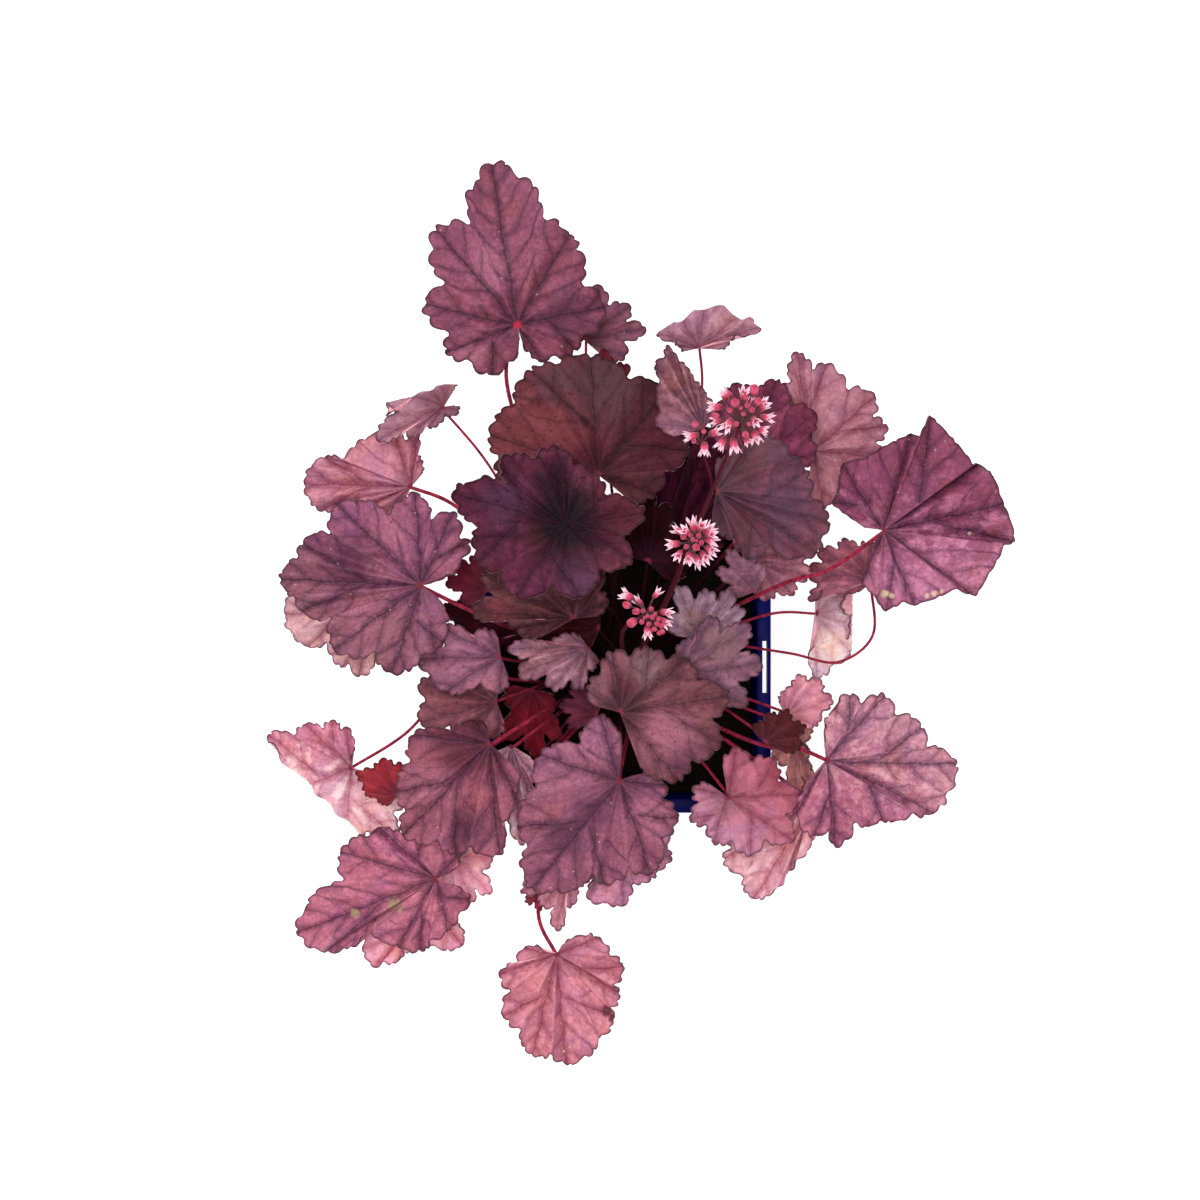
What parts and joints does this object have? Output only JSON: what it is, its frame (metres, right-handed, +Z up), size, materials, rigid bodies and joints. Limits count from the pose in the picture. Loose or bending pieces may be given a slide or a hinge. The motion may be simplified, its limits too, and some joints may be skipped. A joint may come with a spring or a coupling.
{
  "type": "heuchera plant in pot",
  "caption": "Purple-leaved heuchera with lobed, toothed leaves and short sprays of pink bells, standing in a square nursery pot full of compost.",
  "frame": {"origin": "middle of the pot's base, on the floor", "axes": "+Z up, +Y towards the top of the plant as seen from above, +X to its right"},
  "size_m": [0.3257, 0.3952, 0.286],
  "materials": {
    "pot": "dark blue moulded plastic, satin",
    "soil": "dark peaty compost, dull and crumbly",
    "leaf_mauve": "mauve-purple living leaf with dark veins, soft satin",
    "leaf_dark": "dark plum living leaf, soft satin",
    "leaf_bronze": "brown-purple living leaf, soft satin",
    "leaf_grey": "greyed mauve living leaf, soft satin",
    "leaf_pink": "pale pink living leaf with deeper veins, soft satin",
    "leaf_red": "crimson leaf underside, satin",
    "flower": "small pink bells with pale tips and rose-red buds, matt"
  },
  "bodies": {
    "root": {"pot": "pot", "soil": "soil", "leaf_01": "leaf_mauve", "leaf_02": "leaf_mauve", "leaf_03": "leaf_pink", "leaf_04": "leaf_pink", "leaf_05": "leaf_pink", "leaf_06": "leaf_mauve", "leaf_07": "leaf_pink", "leaf_08": "leaf_bronze", "leaf_09": "leaf_red", "leaf_10": "leaf_dark", "leaf_11": "leaf_bronze", "leaf_12": "leaf_grey", "leaf_13": "leaf_mauve", "leaf_14": "leaf_dark", "leaf_15": "leaf_red", "leaf_16": "leaf_grey", "leaf_17": "leaf_mauve", "leaf_18": "leaf_grey", "leaf_19": "leaf_red", "leaf_20": "leaf_mauve", "leaf_21": "leaf_pink", "leaf_22": "leaf_red", "leaf_23": "leaf_mauve", "leaf_24": "leaf_mauve", "leaf_25": "leaf_pink", "leaf_26": "leaf_pink", "leaf_27": "leaf_grey", "leaf_28": "leaf_grey", "leaf_29": "leaf_grey", "leaf_30": "leaf_mauve", "leaf_31": "leaf_pink", "leaf_32": "leaf_red", "leaf_33": "leaf_mauve", "leaf_34": "leaf_pink", "leaf_35": "leaf_mauve", "leaf_36": "leaf_dark", "leaf_37": "leaf_pink", "leaf_38": "leaf_pink", "leaf_39": "leaf_dark", "leaf_40": "leaf_grey", "leaf_41": "leaf_dark", "leaf_42": "leaf_bronze", "leaf_43": "leaf_grey", "leaf_44": "leaf_mauve", "leaf_45": "leaf_pink", "leaf_46": "leaf_dark", "leaf_47": "leaf_bronze", "leaf_48": "leaf_pink", "leaf_49": "leaf_pink", "leaf_50": "leaf_dark", "leaf_51": "leaf_dark", "flowers_1": "flower", "flowers_2": "flower", "flowers_3": "flower"}
  },
  "joints": []
}
